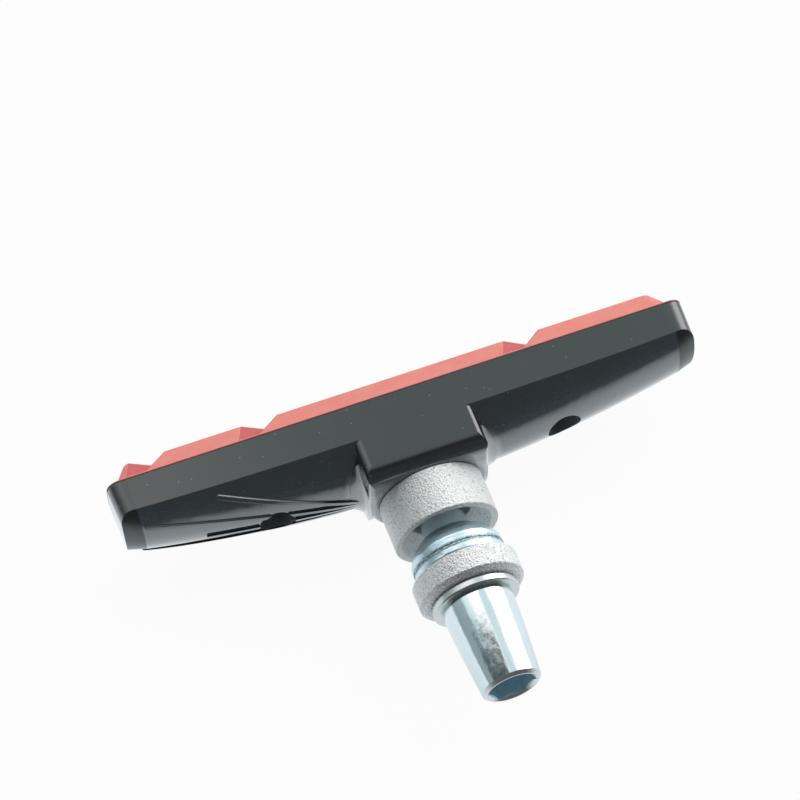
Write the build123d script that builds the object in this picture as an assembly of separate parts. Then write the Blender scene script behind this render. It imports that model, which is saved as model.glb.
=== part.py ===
# Bicycle rim brake pad with its threaded post, spherical washers and socket nut.
# Millimetres. Each piece is drawn with the post upright along +Z and the boss seat at Z = 0,
# then laid over by the last turn so that the post points along -Y and the friction face along +Y.
import math
import os

from build123d import *

# Pad outline, seen along the post: one long side straight, the other bowed
PAD_LENGTH = 70.2
PAD_WIDTH = 14.4
BOWED_RADIUS = 112.0
END_BULGE = 0.2
END_LEAN = 0.7
STRAIGHT_CORNER = 1.7
BOWED_CORNER = 2.2

# Black body, heights above the parting plane between body and friction layer
SEAT_HEIGHT = 10.0
CREST_MIDDLE = 8.3
CREST_AT_HOLES = 7.5
CREST_AT_CREASE = 5.85
CREST_AT_END = 4.75
WALL_MIDDLE = 4.5
WALL_AT_HOLES = 4.4
WALL_AT_CREASE = 4.0
WALL_AT_END = 3.75
FLANK_ANGLE = 40.0
CREASE_POSITION = 32.6
ROOT_HEIGHT = 2.0
BOSS_RADIUS = 7.2
BOSS_CORNER = 0.9
BOSS_EDGE = 0.6
BOSS_SHOULDER = 2.0
FLARE_RADIUS = 1.75
FLARE_REACH = 9.0
FLARE_CENTRE = 0.5
FLARE_ARCH = 7.0
FLARE_SINK = 0.15
HOLE_DIAMETER = 4.2
HOLE_SPACING = 35.3

# Fan of raised ribs on one half of the back: reach from the post and place across the pad
RIB_WIDTH = 0.45
RIB_HEIGHT = 0.25
RIB_START = 8.0
RIB_SPACING = 0.5
RIB_TIPS = ((26.2, -3.3), (33.0, -2.0), (25.8, 0.8), (32.3, 4.9), (23.7, 6.2))

# Friction layer
LAYER_THICKNESS = 3.0
LAYER_BASE = 0.25
GROOVE_FLOOR = 0.45
BLOCK_INSET = 0.15
BLOCK_SHORTER = 0.7
BLOCK_BEVEL = 1.75
BLOCK_CORNER = 2.4
BLOCK_TOP_CORNER = 1.1
GROOVE_WIDTH = 2.9
GROOVE_DRAFT = 13.0
GROOVE_ANGLE = 40.5
GROOVE_MIDDLES = (-23.3, -9.8, 22.3)

# Steel strip moulded into the body
PLATE_INSET = 2.2
PLATE_THICKNESS = 1.4
PLATE_BOTTOM = 1.2
PLATE_CORNER = 1.8

# Post
THREAD_DIAMETER = 6.0
SHANK_DIAMETER = 5.3
SHANK_TOP = 10.2
POST_TOP = 20.2
POST_CHAMFER = 0.5
COLLAR_DIAMETER = 9.0
COLLAR_THICKNESS = 1.5
SPIGOT_DIAMETER = 4.8

# Washers, heights above the boss seat
CUP_DIAMETER = 12.5
INNER_CUP_HEIGHT = 5.6
INNER_CUP_BORE = 7.0
INNER_CUP_MOUTH = 10.8
CUP_EDGE = 0.25
DOME_DIAMETER = 10.9
DOME_RIM = 1.0
DOME_RADIUS = 6.1
DOME_MEETING = 9.45
DOME_SHOWN = 1.45
OUTER_CUP_HEIGHT = 3.1
OUTER_CUP_BORE = 8.4
OUTER_CUP_NOSE = 11.3
OUTER_CUP_CHAMFER = 0.5
WASHER_DIAMETER = 10.3
WASHER_THICKNESS = 1.05
WASHER_EDGE = 0.25
BORE_CLEARANCE = 0.4

# Socket nut
NUT_LENGTH = 10.85
NUT_BASE_DIAMETER = 8.4
NUT_MIDDLE_DIAMETER = 7.95
NUT_MIDDLE_SHARE = 0.45
NUT_SHOULDER_DIAMETER = 7.0
NUT_NOSE_DIAMETER = 6.2
NUT_NOSE_LENGTH = 0.35
NUT_FOOT_CHAMFER = 0.25
COUNTERSINK_DIAMETER = 5.9
HEX_ACROSS_FLATS = 5.0
HEX_DEPTH = 5.4

# Room that a cutting form has beyond the form it cuts
MARGIN = 0.7

PARTING = -SEAT_HEIGHT
STRAIGHT_SIDE = PAD_WIDTH / 2
WASHER_BORE = THREAD_DIAMETER + BORE_CLEARANCE
SPHERE_DROP = (DOME_RADIUS**2 - DOME_DIAMETER**2 / 4) ** 0.5


def bowed_side(position, inset=0.0):
    """Place of the bowed long side at a distance along the pad."""
    return BOWED_RADIUS - PAD_WIDTH / 2 - ((BOWED_RADIUS - inset) ** 2 - position**2) ** 0.5


def outline(inset=0.0, corner=STRAIGHT_CORNER, bowed_corner=BOWED_CORNER, shorter=0.0):
    """Plan of the pad, drawn inset from its edge and optionally shorter at both ends."""
    middle = PAD_LENGTH / 2 - inset - shorter
    end = middle - END_BULGE
    straight = STRAIGHT_SIDE - inset
    bowed = bowed_side(end, inset)
    centre = (straight + bowed) / 2
    with BuildSketch() as plan:
        with BuildLine():
            Line((-end, straight), (end, straight))
            ThreePointArc((end, straight), (middle, centre), (end, bowed))
            ThreePointArc((end, bowed), (0, bowed_side(0, inset)), (-end, bowed))
            ThreePointArc((-end, bowed), (-middle, centre), (-end, straight))
        make_face()
        fillet(plan.vertices().group_by(Axis.Y)[-1], corner)
        fillet(plan.vertices().filter_by_position(Axis.Y, bowed - 0.01, bowed + 0.01), bowed_corner)
    return plan.sketch


def arch_section(position, crest, wall, lift):
    """One cross-section of the arched back, a little wider than the body."""
    bowed = bowed_side(position)
    half = (STRAIGHT_SIDE - bowed) / 2 + MARGIN
    slope = math.tan(math.radians(FLANK_ANGLE))
    edge = PARTING + lift + wall - MARGIN * slope
    top = PARTING + lift + crest
    low = PARTING - MARGIN
    plane = Plane(origin=(position, (STRAIGHT_SIDE + bowed) / 2, 0), x_dir=(0, 1, 0), z_dir=(1, 0, 0))
    with BuildSketch(plane) as section:
        with BuildLine():
            Spline((-half, edge), (0, top), (half, edge), tangents=((1, slope), (1, -slope)))
            Polyline((half, edge), (half, low), (-half, low), (-half, edge))
        make_face()
    return section.sketch


def arched_back(lift=0.0):
    """The arched upper form of the body, with a sloped cap at each end."""
    end = PAD_LENGTH / 2 + MARGIN
    hole = HOLE_SPACING / 2
    stations = [
        (-CREASE_POSITION, CREST_AT_CREASE, WALL_AT_CREASE),
        (-hole, CREST_AT_HOLES, WALL_AT_HOLES),
        (0, CREST_MIDDLE, WALL_MIDDLE),
        (hole, CREST_AT_HOLES, WALL_AT_HOLES),
        (CREASE_POSITION, CREST_AT_CREASE, WALL_AT_CREASE),
    ]
    form = loft([arch_section(*station, lift) for station in stations])
    for side in (-1, 1):
        inner = arch_section(side * CREASE_POSITION, CREST_AT_CREASE, WALL_AT_CREASE, lift)
        outer = arch_section(side * end, CREST_AT_END, WALL_AT_END, lift)
        form += loft([inner, outer] if side > 0 else [outer, inner], ruled=True)
    return form


def boss():
    """Block that carries the washers, round on the bowed side, with concave flares at its ends."""
    with BuildPart() as block:
        with BuildSketch(Plane.XY.offset(PARTING + ROOT_HEIGHT)) as plan:
            with BuildLine():
                Polyline(
                    (-BOSS_RADIUS, 0),
                    (-BOSS_RADIUS, STRAIGHT_SIDE),
                    (BOSS_RADIUS, STRAIGHT_SIDE),
                    (BOSS_RADIUS, 0),
                )
                ThreePointArc((BOSS_RADIUS, 0), (0, -BOSS_RADIUS), (-BOSS_RADIUS, 0))
            make_face()
            fillet(plan.vertices().group_by(Axis.Y)[-1], BOSS_CORNER)
        extrude(amount=SEAT_HEIGHT - ROOT_HEIGHT)
        fillet(block.faces().sort_by(Axis.Z)[-1].edges(), BOSS_EDGE)
    with BuildSketch(Plane.YZ) as shoulder:
        with Locations((STRAIGHT_SIDE - PAD_WIDTH, -SEAT_HEIGHT)):
            Rectangle(2 * PAD_WIDTH, 2 * SEAT_HEIGHT)
        fillet(shoulder.vertices().group_by(Axis.X)[-1].sort_by(Axis.Z)[-1:], BOSS_SHOULDER)
    low = PARTING + CREST_MIDDLE - FLARE_SINK
    axis = Axis((0, 0, low - FLARE_ARCH), (1, 0, 0))
    fade = Pos(0, FLARE_CENTRE, 0) * Cylinder(FLARE_REACH, 6 * SEAT_HEIGHT)
    solid = block.part & extrude(shoulder.sketch, amount=PAD_WIDTH, both=True)
    for side in (-1, 1):
        wall = side * (BOSS_RADIUS - FLARE_SINK / 2)
        root = wall - side * MARGIN
        tip = wall + side * FLARE_RADIUS
        bend = FLARE_RADIUS * (1 - 0.5**0.5)
        middle = (wall + side * bend, low + bend)
        top = low + FLARE_RADIUS
        with BuildSketch(Plane.XZ) as flare:
            with BuildLine():
                ThreePointArc((tip, low), middle, (wall, top))
                Polyline((wall, top), (root, top), (root, low - MARGIN), (tip, low - MARGIN), (tip, low))
            make_face()
        solid += revolve(flare.sketch, axis) & fade
    return solid


def rib(number, reach, across):
    """Thin upright blade from the boss towards a point of the back."""
    start = Vector(-RIB_START, (number - len(RIB_TIPS)) * RIB_SPACING + RIB_SPACING, 0)
    tip = Vector(-reach, across, 0)
    run = tip - start
    plane = Plane(origin=(start + tip) / 2 + Vector(0, 0, PARTING + ROOT_HEIGHT), x_dir=run, z_dir=(0, 0, 1))
    with BuildSketch(plane) as blade:
        SlotOverall(run.length, RIB_WIDTH)
    return extrude(blade.sketch, amount=SEAT_HEIGHT)


def pad_body(plate, post):
    """Black moulded rubber body with boss, ribs and the pockets of the steel inside it."""
    walls = loft([Pos(0, 0, PARTING) * outline(), outline(shorter=END_LEAN)], ruled=True)
    body = walls & arched_back()
    body += walls & boss()
    ribs = [rib(number, *tip) for number, tip in enumerate(RIB_TIPS)]
    fan = ribs[0] + ribs[1:]
    body += fan & arched_back(RIB_HEIGHT)
    floor = PARTING + PLATE_BOTTOM + PLATE_THICKNESS
    for side in (-1, 1):
        pin = Cylinder(HOLE_DIAMETER / 2, SEAT_HEIGHT)
        body -= Pos(side * HOLE_SPACING / 2, 0, floor + SEAT_HEIGHT / 2) * pin
    return body - plate - post


def friction_layer():
    """Red rubber with bevelled sides, cut by slanting grooves down to a thin base."""
    base = extrude(Pos(0, 0, PARTING) * outline(), amount=-LAYER_BASE)
    foot = PARTING - LAYER_BASE
    depth = LAYER_THICKNESS - LAYER_BASE
    low = outline(BLOCK_INSET, BLOCK_CORNER, BLOCK_CORNER, BLOCK_SHORTER)
    high = outline(BLOCK_INSET + BLOCK_BEVEL, BLOCK_TOP_CORNER, BLOCK_TOP_CORNER, BLOCK_SHORTER)
    block = loft([Pos(0, 0, foot - depth) * high, Pos(0, 0, foot) * low], ruled=True)
    floor = PARTING - GROOVE_FLOOR
    for middle in GROOVE_MIDDLES:
        along = Vector(1, 0, 0).rotate(Axis.Z, -GROOVE_ANGLE)
        plane = Plane(origin=(middle, 0, floor), x_dir=along.rotate(Axis.Z, -90), z_dir=along)
        with BuildSketch(plane) as groove:
            Trapezoid(GROOVE_WIDTH, depth, 90 + GROOVE_DRAFT, align=(Align.CENTER, Align.MIN))
        block -= extrude(groove.sketch, amount=PAD_WIDTH * 2, both=True)
    return base + block


def backing_plate():
    """Steel strip inside the body, with a hole for the riveted end of the post."""
    low = PARTING + PLATE_BOTTOM
    strip = extrude(Pos(0, 0, low) * outline(PLATE_INSET, PLATE_CORNER, PLATE_CORNER), amount=PLATE_THICKNESS)
    return strip - Pos(0, 0, low) * Cylinder(SPIGOT_DIAMETER / 2, 4 * PLATE_THICKNESS)


def turned(points):
    """Solid of revolution about the post from a closed list of radius and height."""
    with BuildSketch(Plane.XZ) as half:
        with BuildLine():
            Polyline(*points, close=True)
        make_face()
    return revolve(half.sketch, Axis.Z)


def threaded_post():
    """Shouldered steel post, riveted to the plate and threaded at its outer end."""
    plate_low = PARTING + PLATE_BOTTOM
    plate_high = plate_low + PLATE_THICKNESS
    collar = plate_high + COLLAR_THICKNESS
    thread = THREAD_DIAMETER / 2
    shank = SHANK_DIAMETER / 2
    return turned(
        [
            (0, plate_low),
            (SPIGOT_DIAMETER / 2, plate_low),
            (SPIGOT_DIAMETER / 2, plate_high),
            (COLLAR_DIAMETER / 2, plate_high),
            (COLLAR_DIAMETER / 2, collar),
            (shank, collar),
            (shank, SHANK_TOP - (thread - shank)),
            (thread, SHANK_TOP),
            (thread, POST_TOP - POST_CHAMFER),
            (thread - POST_CHAMFER, POST_TOP),
            (0, POST_TOP),
        ]
    )


def ball(height):
    """Sphere on the post axis that the domes and cups share."""
    return Pos(0, 0, height) * Sphere(DOME_RADIUS)


def inner_cup_washer():
    """Thick washer on the boss with a hollow face for the inner dome."""
    body = Pos(0, 0, INNER_CUP_HEIGHT / 2) * Cylinder(CUP_DIAMETER / 2, INNER_CUP_HEIGHT)
    body = fillet(body.edges().filter_by(GeomType.CIRCLE), CUP_EDGE)
    mouth = (DOME_RADIUS**2 - INNER_CUP_MOUTH**2 / 4) ** 0.5
    body -= ball(INNER_CUP_HEIGHT + mouth)
    return body - Cylinder(INNER_CUP_BORE / 2, 4 * INNER_CUP_HEIGHT)


def dome_washer(direction):
    """Washer with a flat face towards the brake arm and a rounded face towards its cup."""
    rim = DOME_MEETING + direction * DOME_RIM
    centre = rim - direction * SPHERE_DROP
    reach = 2 * DOME_RADIUS
    blank = Pos(0, 0, DOME_MEETING + direction * reach / 2) * Cylinder(DOME_DIAMETER / 2, reach)
    body = blank & ball(centre)
    return body - Pos(0, 0, DOME_MEETING) * Cylinder(WASHER_BORE / 2, 4 * reach)


def outer_cup_washer():
    """Thin washer whose hollow face sits on the outer dome."""
    low = DOME_MEETING + DOME_SHOWN
    high = low + OUTER_CUP_HEIGHT
    chamfer_radius = (CUP_DIAMETER - OUTER_CUP_NOSE) / 2
    body = turned(
        [
            (OUTER_CUP_BORE / 2, low),
            (CUP_DIAMETER / 2 - CUP_EDGE, low),
            (CUP_DIAMETER / 2, low + CUP_EDGE),
            (CUP_DIAMETER / 2, high - OUTER_CUP_CHAMFER),
            (CUP_DIAMETER / 2 - chamfer_radius, high),
            (OUTER_CUP_BORE / 2, high),
        ]
    )
    return body - ball(DOME_MEETING + DOME_RIM - SPHERE_DROP)


def flat_washer():
    """Thin smooth washer under the nut."""
    low = DOME_MEETING + DOME_SHOWN + OUTER_CUP_HEIGHT
    ring = Pos(0, 0, low + WASHER_THICKNESS / 2) * Cylinder(WASHER_DIAMETER / 2, WASHER_THICKNESS)
    ring = fillet(ring.edges().filter_by(GeomType.CIRCLE), WASHER_EDGE)
    return ring - Pos(0, 0, low) * Cylinder(WASHER_BORE / 2, 4 * WASHER_THICKNESS)


def socket_nut():
    """Bullet-nosed barrel nut, threaded below and with a hexagon socket in its nose."""
    low = DOME_MEETING + DOME_SHOWN + OUTER_CUP_HEIGHT + WASHER_THICKNESS
    high = low + NUT_LENGTH
    shoulder = high - NUT_NOSE_LENGTH
    foot = NUT_BASE_DIAMETER / 2
    middle = (NUT_MIDDLE_DIAMETER / 2, low + NUT_LENGTH * NUT_MIDDLE_SHARE)
    start = (foot, low + NUT_FOOT_CHAMFER)
    neck = (NUT_SHOULDER_DIAMETER / 2, shoulder)
    nose = (NUT_NOSE_DIAMETER / 2, high)
    sink = (COUNTERSINK_DIAMETER - HEX_ACROSS_FLATS) / 2
    with BuildSketch(Plane.XZ) as half:
        with BuildLine():
            Polyline((0, low), (foot - NUT_FOOT_CHAMFER, low), start)
            ThreePointArc(start, middle, neck)
            Line(neck, nose)
            Polyline(nose, (COUNTERSINK_DIAMETER / 2, high), (HEX_ACROSS_FLATS / 2, high - sink))
            Polyline((HEX_ACROSS_FLATS / 2, high - sink), (0, high - sink), (0, low))
        make_face()
    body = revolve(half.sketch, Axis.Z)
    seat = high - HEX_DEPTH
    body -= Pos(0, 0, (low + seat) / 2) * Cylinder(THREAD_DIAMETER / 2, seat - low)
    with BuildSketch(Plane.XY.offset(seat)) as key:
        RegularPolygon(HEX_ACROSS_FLATS / 2, 6, major_radius=False)
    return body - extrude(key.sketch, amount=HEX_DEPTH)


plate = backing_plate()
post = threaded_post()
pieces = {
    "friction_layer": friction_layer(),
    "pad_body": pad_body(plate, post),
    "backing_plate": plate,
    "threaded_post": post,
    "inner_cup_washer": inner_cup_washer(),
    "inner_dome_washer": dome_washer(-1),
    "outer_dome_washer": dome_washer(1),
    "outer_cup_washer": outer_cup_washer(),
    "flat_washer": flat_washer(),
    "socket_nut": socket_nut(),
}
os.makedirs("parts", exist_ok=True)
for name, shape in pieces.items():
    export_step(Rot(90, 0, 0) * shape, f"parts/{name}.step")
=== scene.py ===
# Bicycle rim brake pad: two-layer rubber pad on a steel post with spherical washers and a socket nut.
# The pieces follow in the order of assembly, then the table, the light and the camera. Sizes of pieces
# are in millimetres. Heights run along the post towards -Y, from 0 at the boss face that it leaves.
import math

import bmesh
import bpy
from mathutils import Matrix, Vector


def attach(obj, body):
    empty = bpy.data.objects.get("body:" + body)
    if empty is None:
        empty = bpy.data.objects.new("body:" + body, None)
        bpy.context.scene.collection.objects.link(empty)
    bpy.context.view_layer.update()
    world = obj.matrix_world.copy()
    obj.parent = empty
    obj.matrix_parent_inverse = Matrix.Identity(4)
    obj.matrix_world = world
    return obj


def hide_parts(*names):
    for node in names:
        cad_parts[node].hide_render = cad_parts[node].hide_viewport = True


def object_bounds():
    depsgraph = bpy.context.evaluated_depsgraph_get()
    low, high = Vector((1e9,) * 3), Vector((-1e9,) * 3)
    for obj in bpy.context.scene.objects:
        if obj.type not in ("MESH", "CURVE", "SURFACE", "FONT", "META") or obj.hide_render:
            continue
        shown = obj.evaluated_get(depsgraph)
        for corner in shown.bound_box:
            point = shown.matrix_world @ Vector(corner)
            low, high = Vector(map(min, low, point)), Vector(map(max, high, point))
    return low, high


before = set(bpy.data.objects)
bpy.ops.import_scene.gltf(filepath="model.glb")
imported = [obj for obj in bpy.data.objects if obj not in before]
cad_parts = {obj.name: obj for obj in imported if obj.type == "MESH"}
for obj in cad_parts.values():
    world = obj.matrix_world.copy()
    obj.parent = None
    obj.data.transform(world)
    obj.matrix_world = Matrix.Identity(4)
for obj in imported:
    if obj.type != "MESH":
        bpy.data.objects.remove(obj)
solid_box = [list(corner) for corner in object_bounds()]


# Steel strip
# A strip of mild steel cut to the plan of the pad. It stiffens the rubber and carries the post,
# and lies wholly inside the black body, where only the two pin holes reach it.
class Wire:
    """One output in a node tree. Sums written on it add Math nodes."""

    def __init__(self, tree, socket=None):
        self.tree = tree
        self.socket = socket

    def node(self, kind, settings, inputs, output=0):
        """Adds a node: its settings first, then the values or links of its sockets."""
        made = self.tree.nodes.new(kind)
        for name, value in settings.items():
            if name == "stops":
                ramp = made.color_ramp
                ramp.elements.remove(ramp.elements[1])
                ramp.elements[0].position = value[0][0]
                for place, _ in value[1:]:
                    ramp.elements.new(place)
                for stop, (_, colour) in zip(ramp.elements, value):
                    stop.color = (*colour, 1)
            else:
                setattr(made, name, value)
        for name, value in inputs.items():
            if isinstance(value, Wire):
                self.tree.links.new(value.socket, made.inputs[name])
            else:
                made.inputs[name].default_value = value
        return Wire(self.tree, made.outputs[output])

    def maths(self, operation, first, second):
        """One sum on two values."""
        return self.node("ShaderNodeMath", {"operation": operation}, {0: first, 1: second})

    def __add__(self, other):
        return self.maths("ADD", self, other)

    def __sub__(self, other):
        return self.maths("SUBTRACT", self, other)

    def __rsub__(self, other):
        return self.maths("SUBTRACT", other, self)

    def __mul__(self, other):
        return self.maths("MULTIPLY", self, other)

    def __pow__(self, other):
        return self.maths("POWER", self, other)

    __radd__ = __add__
    __rmul__ = __mul__

    def between(self, low, high):
        """Smooth step from 0 at low to 1 at high."""
        inputs = {"Value": self, "From Min": low, "From Max": high}
        return self.node("ShaderNodeMapRange", {"interpolation_type": "SMOOTHSTEP"}, inputs)

    def blend(self, first, second):
        """Colour that goes from first to second as this value goes from 0 to 1."""
        return self.node("ShaderNodeMix", {"data_type": "RGBA"}, {0: self, 6: first, 7: second}, 2)

    def stretch(self, x, y, z):
        """This place or colour with each part multiplied."""
        return self.node("ShaderNodeVectorMath", {"operation": "MULTIPLY"}, {0: self, 1: (x, y, z)})

    def part(self, axis):
        """One coordinate of this place."""
        return self.node("ShaderNodeSeparateXYZ", {}, {0: self}, axis)

    def grain(self, scale, detail=2.0, rough=0.5):
        """Noise at this place."""
        inputs = {"Vector": self, "Scale": scale, "Detail": detail, "Roughness": rough}
        return self.node("ShaderNodeTexNoise", {}, inputs)

    def cells(self, scale):
        """Distance from this place to the nearest of many scattered points."""
        inputs = {"Vector": self, "Scale": scale, "Randomness": 1.0}
        return self.node("ShaderNodeTexVoronoi", {}, inputs, "Distance")

    def feed(self, shader, name):
        """Links this output to a socket of a shader."""
        self.tree.links.new(self.socket, shader.inputs[name])


def finish(name, **constants):
    """New material: returns it, its shader with the constants set, and the place on the piece in mm."""
    material = bpy.data.materials.new(name)
    material.use_nodes = True
    shader = material.node_tree.nodes["Principled BSDF"]
    for socket, value in constants.items():
        shader.inputs[socket.replace("_", " ")].default_value = value
    metres = Wire(material.node_tree).node("ShaderNodeTexCoord", {}, {}, "Object")
    return material, shader, metres.stretch(1000, 1000, 1000)


def dress(node, material):
    """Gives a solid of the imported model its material."""
    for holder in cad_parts[node].material_slots:
        holder.material = material


strip_steel, shader, place = finish("strip_steel", Metallic=1.0)
rolled = place.stretch(0.15, 3, 3).grain(1.0, detail=4.0)
rolled.blend((0.36, 0.36, 0.37, 1), (0.52, 0.52, 0.53, 1)).feed(shader, "Base Color")
(0.3 + 0.2 * rolled).feed(shader, "Roughness")
dress("backing_plate", strip_steel)


# Post
# A turned steel post, riveted into the strip and zinc plated. The plain shank shows between the
# cup and the dome of the inner pair, and its end shows at the bottom of the nut's socket.
mm = 0.001
steps = 144
turns = [math.tau * k / steps for k in range(steps)]
sharp = math.radians(28)
spigot_radius = 2.4
collar_radius = 4.5
shank_radius = 2.65
thread_radius = 3.0
rivet_end = -8.8
strip_top = -7.4
collar_top = -5.9
thread_start = 10.2
post_end = 20.2
post_chamfer = 0.5


def ring(form, radii, heights):
    """Points round the post, one for each turn, from their radii and heights."""
    return [
        form.verts.new((r * mm * math.sin(a), -h * mm, r * mm * math.cos(a)))
        for a, r, h in zip(turns, radii, heights)
    ]


def shaped(name, form, rings, broken):
    """Joins rings to a closed form with smooth faces, and breaks its edges by a radius."""
    for low, high in zip(rings, rings[1:] + rings[:1]):
        for k in range(steps):
            form.faces.new((low[k], low[k - 1], high[k - 1], high[k]))
    bmesh.ops.remove_doubles(form, verts=form.verts, dist=1e-7)
    bmesh.ops.dissolve_degenerate(form, edges=form.edges, dist=1e-7)
    bmesh.ops.recalc_face_normals(form, faces=form.faces)
    mesh = bpy.data.meshes.new(name)
    form.to_mesh(mesh)
    form.free()
    mesh.shade_smooth()
    mesh.set_sharp_from_angle(angle=sharp)
    piece = bpy.data.objects.new(name, mesh)
    bpy.context.scene.collection.objects.link(piece)
    edge = piece.modifiers.new("broken_edges", "BEVEL")
    edge.width = broken * mm
    edge.segments = 3
    edge.limit_method = "ANGLE"
    edge.angle_limit = sharp
    edge.harden_normals = True
    return piece


def turned(name, profile, broken):
    """Form turned about the post from pairs of radius and height."""
    form = bmesh.new()
    rings = [ring(form, [radius] * steps, [height] * steps) for radius, height in profile]
    return shaped(name, form, rings, broken)


def stand_for(piece, node, material):
    """Puts a finished piece in the place of its solid."""
    piece.data.materials.append(material)
    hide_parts(node)
    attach(piece, "root")


def relief(height, shader, strength, depth, **under):
    """Gives a shader a bump from a height, in which a step of 1 is as deep as depth."""
    inputs = {"Strength": strength, "Distance": depth * mm, "Height": height, **under}
    height.node("ShaderNodeBump", {}, inputs).feed(shader, "Normal")


post_zinc, shader, place = finish("post_zinc", Metallic=1.0)
turning = place.stretch(0.3, 14, 0.3).grain(1.0, detail=3.0)
turning.blend((0.56, 0.69, 0.72, 1), (0.72, 0.85, 0.88, 1)).feed(shader, "Base Color")
(0.16 + 0.14 * turning).feed(shader, "Roughness")
relief(turning, shader, strength=0.2, depth=0.02)
profile = [
    (0, rivet_end),
    (spigot_radius, rivet_end),
    (spigot_radius, strip_top),
    (collar_radius, strip_top),
    (collar_radius, collar_top),
    (shank_radius, collar_top),
    (shank_radius, thread_start - (thread_radius - shank_radius)),
    (thread_radius, thread_start),
    (thread_radius, post_end - post_chamfer),
    (thread_radius - post_chamfer, post_end),
    (0, post_end),
]
stand_for(turned("post", profile, broken=0.1), "threaded_post", post_zinc)


# Black body
# Moulded black rubber around the strip and the post: straight upper wall, arched back with a fan of
# ribs, and the boss. The skin is satin with the fine grain of the mould and a little dust. Faces turned
# to the front and patches of the boss seat are painted paler as painted reflection, and the pin holes
# are painted pale inside as painted light.
crease = 32.6
hole_place = 17.65
hole_radius = 2.1


def lean(place, axis):
    """How far the face of a piece leans along an axis, from -1 to 1."""
    return place.node("ShaderNodeNewGeometry", {}, {}, "True Normal").part(axis)


def off_axis(place):
    """Distance from the axis of the post."""
    return (place.part(0) ** 2 + place.part(2) ** 2) ** 0.5


black_rubber, shader, place = finish("black_rubber", IOR=1.85, Coat_IOR=1.9, Coat_Roughness=0.06)
along = (place.part(0) ** 2) ** 0.5
across = off_axis(place)
tilt = lean(place, 1)
skin = place.grain(9.0, detail=5.0, rough=0.6)
cloud = place.grain(0.35, detail=3.0)
cap = along.between(crease - 0.1, crease + 0.1)
ends = (lean(place, 0) ** 2).between(0.5, 0.75)
# Faces turned towards the front (-Y) are painted paler and bluish, patchy with the cloud noise: painted
# reflection of the white table.
bloom_and_painted_reflection = tilt.between(-0.65, -0.95) * (1 - cap)
polish = tilt.between(-0.35, -0.6) * (1 - cap)
# Pale grey patches on the front-facing boss seat and flares, stopping short of the cup: painted
# reflection.
painted_seat_reflection = tilt.between(-0.15, -0.5) * across.between(6.4, 6.9) * (1 - across.between(9.2, 10.0))
painted_seat_reflection = painted_seat_reflection * (1 - place.part(2).between(2.5, 4.5))
# The pin holes are painted pale grey inside: painted light that lifts the shade in them.
from_hole = ((along - hole_place) ** 2 + place.part(2) ** 2) ** 0.5
painted_hole_light = 1 - from_hole.between(hole_radius - 0.05, hole_radius + 0.045)
speck = 1 - place.cells(0.75).between(0.04, 0.08)
ground = cloud.blend((0.012, 0.0165, 0.0165, 1), (0.018, 0.0235, 0.0235, 1))
ground = (bloom_and_painted_reflection * (0.5 + 0.5 * cloud)).blend(ground, (0.07, 0.115, 0.145, 1))
ground = (painted_seat_reflection * (0.6 + 0.6 * cloud)).blend(ground, (0.5, 0.52, 0.53, 1))
ground = painted_hole_light.blend(ground, (0.55, 0.57, 0.57, 1))
(speck * 0.6).blend(ground, (0.3, 0.31, 0.31, 1)).feed(shader, "Base Color")
(0.07 + 0.08 * skin + 0.04 * cloud + 0.12 * cap * (1 - ends)).feed(shader, "Roughness")
(polish + ends).feed(shader, "Coat Weight")
soft_edge = place.node("ShaderNodeBevel", {"samples": 6}, {"Radius": 0.15 * mm})
relief(skin, shader, strength=0.06, depth=0.03, Normal=soft_edge)
dress("pad_body", black_rubber)


# Red friction layer
# Softer red rubber bonded to the body in the same mould, with a thin base and bevelled blocks between
# slanting grooves. It is matt, with the bloom of new rubber. The walls leaning towards +X are painted
# deeper red as painted shade, and a dark line where it meets the body is painted shadow.
parting = 10.0
red_rubber, shader, place = finish("red_rubber", IOR=1.45)
bloom_and_painted_reflection = place.grain(0.6, detail=4.0, rough=0.6)
fine = place.grain(7.0, detail=3.0, rough=0.6)
# Walls that lean towards +X are painted deeper red: painted shade.
painted_shade_groove_wall = lean(place, 0).between(0.3, 0.6)
# A near-black line beside the parting is painted shadow where the red meets the body.
painted_shadow_seam = 1 - place.part(1).between(parting + 0.12, parting + 0.22)
tone = bloom_and_painted_reflection.blend((0.82, 0.21, 0.18, 1), (0.9, 0.32, 0.26, 1))
tone = (painted_shade_groove_wall * 0.85).blend(tone, (0.56, 0.1, 0.115, 1))
tone = (fine.between(0.55, 0.8) * 0.25).blend(tone, (0.9, 0.5, 0.45, 1))
(painted_shadow_seam * 0.85).blend(tone, (0.05, 0.03, 0.03, 1)).feed(shader, "Base Color")
(0.6 + 0.2 * fine).feed(shader, "Roughness")
soft_edge = place.node("ShaderNodeBevel", {"samples": 6}, {"Radius": 0.25 * mm})
relief(fine, shader, strength=0.25, depth=0.04, Normal=soft_edge)
dress("friction_layer", red_rubber)


# Inner cup washer
# A thick washer pressed from metal powder and zinc plated, so its skin is grainy and sparkles. It
# stands on the boss and is hollow towards the inner dome.
ball_radius = 6.1
cup_radius = 6.25
inner_cup_bore = 3.5
inner_cup_mouth = 5.4
inner_cup_height = 5.6


def bowl(centre, start, end, way):
    """Arc of the ball that cups and domes share, as pairs of radius and height between two radii."""
    radii = [start + (end - start) * k / 12 for k in range(13)]
    return [(radius, centre + way * (ball_radius**2 - radius**2) ** 0.5) for radius in radii]


grainy_zinc, shader, place = finish("grainy_zinc", Metallic=0.6)
pits = place.grain(4.2, detail=3.0, rough=0.7)
powder = pits.between(0.34, 0.47).blend((0.46, 0.46, 0.45, 1), (0.98, 0.98, 0.97, 1))
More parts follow.
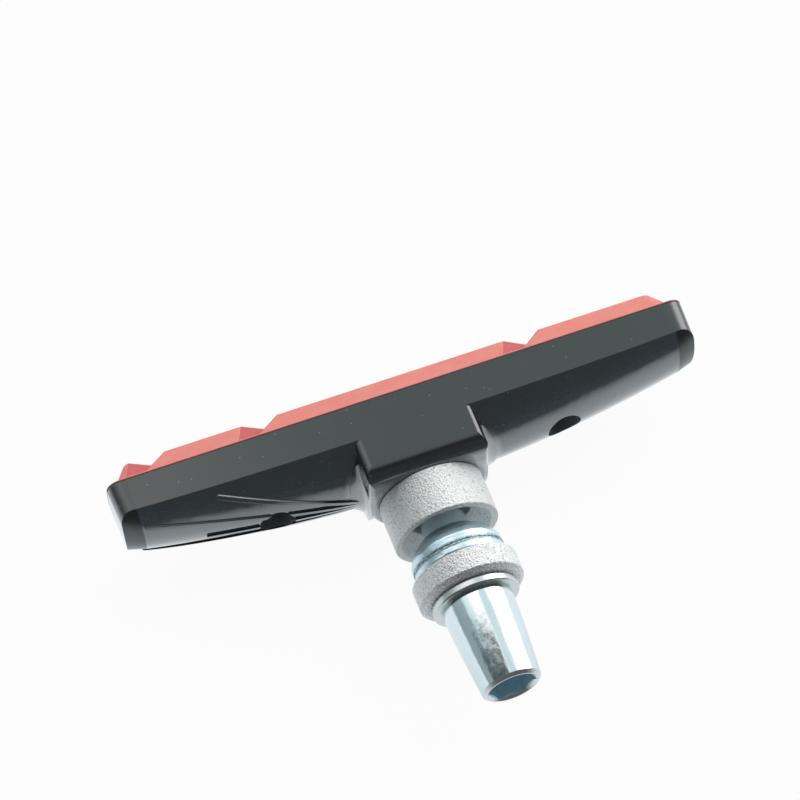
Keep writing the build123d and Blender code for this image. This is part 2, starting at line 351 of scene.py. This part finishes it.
# Faces of the inner cup turned towards the dome (-Y) are painted darker brown: painted shade between the
# cup and the dome.
painted_shade_inner_face = lean(place, 1).between(-0.6, -0.9) * place.part(1).between(-7, -6)
(painted_shade_inner_face * 0.6).blend(powder, (0.6, 0.57, 0.53, 1)).feed(shader, "Base Color")
(0.32 + 0.22 * pits).feed(shader, "Roughness")
relief(pits + 0.5 * place.cells(3.8), shader, strength=0.95, depth=0.15)
centre = inner_cup_height + (ball_radius**2 - inner_cup_mouth**2) ** 0.5
profile = [(inner_cup_bore, 0), (cup_radius, 0), (cup_radius, inner_cup_height)]
profile += bowl(centre, inner_cup_mouth, inner_cup_bore, -1)
stand_for(turned("inner_cup", profile, broken=0.18), "inner_cup_washer", grainy_zinc)


# Dome washers
# Two equal zinc-plated washers, each flat on one side and rounded on the other. Their flat faces clamp
# the brake arm; here they touch. The rims are left rough by the cut-off tool.
dome_radius = 5.45
dome_rim = 1.0
dome_meeting = 9.45
washer_bore = 3.2
rim_drop = (ball_radius**2 - dome_radius**2) ** 0.5
dome_zinc, shader, place = finish("dome_zinc", Metallic=1.0)
height = place.part(1) * -1
torn = place.stretch(1, 2.2, 1).grain(2.6, detail=4.0, rough=0.65)
rim = 1 - ((height - dome_meeting) ** 2).between(0.03, 0.16)
smear = place.stretch(0.5, 4, 0.5).grain(1.0, detail=3.0)
wave = place.stretch(0.8, 1.5, 0.8).grain(1.0, detail=2.0)
plate = smear.blend((0.58, 0.76, 0.84, 1), (0.84, 0.95, 1, 1))
(rim * torn.between(0.35, 0.6)).blend(plate, (0.22, 0.3, 0.33, 1)).feed(shader, "Base Color")
(0.3 + 0.1 * smear + 0.2 * rim).feed(shader, "Roughness")
relief(0.6 * rim * torn + wave, shader, strength=0.5, depth=0.2)
for name, node, way in (("inner_dome", "inner_dome_washer", -1), ("outer_dome", "outer_dome_washer", 1)):
    centre = dome_meeting + way * (dome_rim - rim_drop)
    profile = [(washer_bore, dome_meeting), (dome_radius, dome_meeting)]
    profile += bowl(centre, dome_radius, washer_bore, way)
    stand_for(turned(name, profile, broken=0.12), node, dome_zinc)


# Outer cup washer
# The thin partner of the inner cup, of the same pressed and plated powder. It sits on the outer dome
# and has a chamfer towards the nut.
outer_cup_bore = 4.2
outer_cup_mouth = 5.17
outer_cup_nose = 5.65
outer_cup_low = 10.9
outer_cup_shoulder = 13.5
outer_cup_top = 14.0
profile = [
    (outer_cup_bore, outer_cup_top),
    (outer_cup_nose, outer_cup_top),
    (cup_radius, outer_cup_shoulder),
    (cup_radius, outer_cup_low),
]
profile += bowl(dome_meeting + dome_rim - rim_drop, outer_cup_mouth, outer_cup_bore, 1)
stand_for(turned("outer_cup", profile, broken=0.2), "outer_cup_washer", grainy_zinc)


# Flat washer
# A thin washer stamped from steel sheet, smooth and zinc plated. It lies loose on the outer cup, and
# the nut turns on it.
flat_washer_radius = 5.15
flat_washer_top = 15.05
washer_zinc, shader, place = finish("washer_zinc", Metallic=1.0)
stamp = place.stretch(0.8, 6, 0.8).grain(1.0, detail=3.0)
stamp.blend((0.62, 0.64, 0.62, 1), (0.8, 0.82, 0.81, 1)).feed(shader, "Base Color")
(0.2 + 0.15 * stamp).feed(shader, "Roughness")
relief(stamp, shader, strength=0.2, depth=0.03)
profile = [
    (washer_bore, outer_cup_top),
    (flat_washer_radius, outer_cup_top),
    (flat_washer_radius, flat_washer_top),
    (washer_bore, flat_washer_top),
]
stand_for(turned("flat_washer_ring", profile, broken=0.25), "flat_washer", washer_zinc)


# Socket nut
# A barrel nut turned from bar, tapering to a blunt nose with a pressed hexagon socket. The bright zinc
# has fine rings from the tool. Inside the socket it is painted pale blue, less metallic and rougher, as
# painted light that lifts the shade of the recess.
foot_radius = 4.2
foot_chamfer = 0.25
nose_shoulder = 3.5
nose_radius = 3.1
nose_height = 25.9
barrel_length = 10.25
sink_radius = 2.95
half_flats = 2.5
socket_floor = 20.5
nut_zinc, shader, place = finish("nut_zinc")
height = place.part(1) * -1
nose = height.between(nose_height - 0.4, nose_height - 0.3)
# The socket is painted pale blue, less metallic and rougher: painted light in the recess.
socket_painted_light = height.between(socket_floor - 0.2, socket_floor + 0.2)
socket_painted_light = socket_painted_light * (1 - height.between(nose_height - 0.4, nose_height - 0.2))
socket_painted_light = socket_painted_light * (1 - off_axis(place).between(2.8, 3.0))
rings = place.stretch(0.25, 9, 0.25).grain(1.0, detail=4.0, rough=0.6)
streak = place.stretch(1.1, 0.12, 1.1).grain(1.0, detail=3.0)
wave = place.stretch(0.8, 0.35, 0.8).grain(1.0, detail=3.0)
plate = streak.blend((0.7, 0.79, 0.82, 1), (0.86, 0.92, 0.94, 1))
plate = nose.blend(plate, (0.92, 0.94, 0.95, 1))
socket_painted_light.blend(plate, (0.68, 0.92, 1, 1)).feed(shader, "Base Color")
(1 - 0.5 * socket_painted_light).feed(shader, "Metallic")
(0.07 + 0.07 * rings + 0.05 * streak + 0.35 * socket_painted_light + 0.12 * nose).feed(shader, "Roughness")
relief(0.03 * rings + wave, shader, strength=0.3, depth=0.12)
barrel_start = flat_washer_top + foot_chamfer
barrel = [(thread_radius, flat_washer_top), (foot_radius - foot_chamfer, flat_washer_top)]
for k in range(17):
    share = k / 16
    radius = foot_radius - (foot_radius - nose_shoulder) * share**1.35
    barrel.append((radius, barrel_start + barrel_length * share))
barrel += [(nose_radius, nose_height), (sink_radius, nose_height)]
hexagon = [half_flats / math.cos((a + math.pi / 6) % (math.pi / 3) - math.pi / 6) for a in turns]
form = bmesh.new()
rows = [ring(form, [r] * steps, [h] * steps) for r, h in barrel]
rows.append(ring(form, hexagon, [nose_height - (sink_radius - r) for r in hexagon]))
rows.append(ring(form, hexagon, [socket_floor] * steps))
rows.append(ring(form, [half_flats - 0.01] * steps, [socket_floor - 0.01] * steps))
rows.append(ring(form, [thread_radius] * steps, [socket_floor - 0.1] * steps))
stand_for(shaped("nut", form, rows, broken=0.1), "socket_nut", nut_zinc)


# Table
# A plain white table top of painted board, on which the pad lies. It shows white to the camera and
# in the bright metal, fades towards the front in reflections, and keeps a faint shadow.
low = solid_box[0][2]
mesh = bpy.data.meshes.new("table")
mesh.from_pydata([(-1, -1, low), (1, -1, low), (1, 1, low), (-1, 1, low)], [], [(0, 1, 2, 3)])
table = bpy.data.objects.new("table", mesh)
bpy.context.scene.collection.objects.link(table)
white, shader, place = finish("white_table", Roughness=0.8)
paint = place.grain(0.05, detail=3.0)
paint.blend((0.86, 0.86, 0.86, 1), (0.9, 0.9, 0.9, 1)).feed(shader, "Base Color")
tree = white.node_tree
wire = Wire(tree)
seen = wire.node("ShaderNodeLightPath", {}, {}, "Is Camera Ray")
gloss = wire.node("ShaderNodeLightPath", {}, {}, "Is Glossy Ray")
through = wire.node("ShaderNodeLightPath", {}, {}, "Is Transmission Ray")
near = place.part(1).between(-70, -8)
sheet = gloss.blend((1, 1, 1, 1), (0.9, 0.96, 1, 1))
sheet = (gloss * (1 - near)).blend(sheet, (0.1, 0.105, 0.11, 1))
glow = wire.node("ShaderNodeEmission", {}, {"Color": sheet, "Strength": 1.0})
lit = Wire(tree, shader.outputs[0])
surface = wire.node("ShaderNodeMixShader", {}, {0: (seen + gloss + through) * 0.95, 1: lit, 2: glow})
surface.feed(tree.nodes["Material Output"], "Surface")
mesh.materials.append(white)


# Light
# A tent of white cloth with bluish panels, open and dim on the side of the camera, and a dark flag
# high at the left. A soft box at the right lights the pieces that face it.
world = bpy.data.worlds.new("tent")
bpy.context.scene.world = world
world.use_nodes = True
tree = world.node_tree
wire = Wire(tree)
toward = wire.node("ShaderNodeTexCoord", {}, {}, "Generated")
side = toward.part(0)
stops = [
    (0.03, (0.22, 0.27, 0.28)),
    (0.12, (0.28, 0.33, 0.34)),
    (0.16, (0.6, 0.68, 0.69)),
    (0.26, (0.7, 0.76, 0.77)),
    (0.3, (1, 1, 1)),
    (0.52, (1, 1, 1)),
    (0.56, (0.5, 0.58, 0.585)),
    (0.72, (0.54, 0.62, 0.63)),
    (0.76, (1, 1, 1)),
]
panels = side.node("ShaderNodeValToRGB", {"stops": stops}, {"Fac": 0.5 + 0.5 * side})
front = 1 - toward.part(1).between(-0.25, 0.2)
flag = (1 - toward.part(1).between(0.235, 0.275)) * (1 - side.between(-0.02, 0.1))
flag = flag * toward.part(2).between(0.3, 0.5)
panels = flag.blend(panels.stretch(1.4, 1.4, 1.4), (0.05, 0.07, 0.075, 1))
tent = front.blend(panels, (0.1, 0.105, 0.11, 1))
seen = wire.node("ShaderNodeLightPath", {}, {}, "Is Camera Ray")
background = tree.nodes["Background"]
background.inputs["Strength"].default_value = 1.0
seen.blend(tent, (1, 1, 1, 1)).feed(background, "Color")
lamp = bpy.data.lights.new("soft_box", "AREA")
lamp.shape = "RECTANGLE"
lamp.size = 0.3
lamp.size_y = 0.3
lamp.energy = 0.7
box = bpy.data.objects.new("soft_box", lamp)
box.location = (0.36, 0.2, 0.2)
box.rotation_euler = (-box.location).to_track_quat("-Z", "Y").to_euler()
bpy.context.scene.collection.objects.link(box)


# Camera
# It stands where the photograph was taken, with that lens. Both were found from the known sizes of
# the pad.
camera = bpy.data.objects.new("camera", bpy.data.cameras.new("camera"))
bpy.context.scene.collection.objects.link(camera)
camera.location = (-0.04734, -0.13094, 0.26342)
camera.rotation_euler = [math.radians(a) for a in (29.904, 0.934, -20.218)]
camera.data.lens = 116.853
camera.data.clip_start = 0.01
bpy.context.scene.camera = camera
bpy.context.scene.view_settings.view_transform = "Standard"
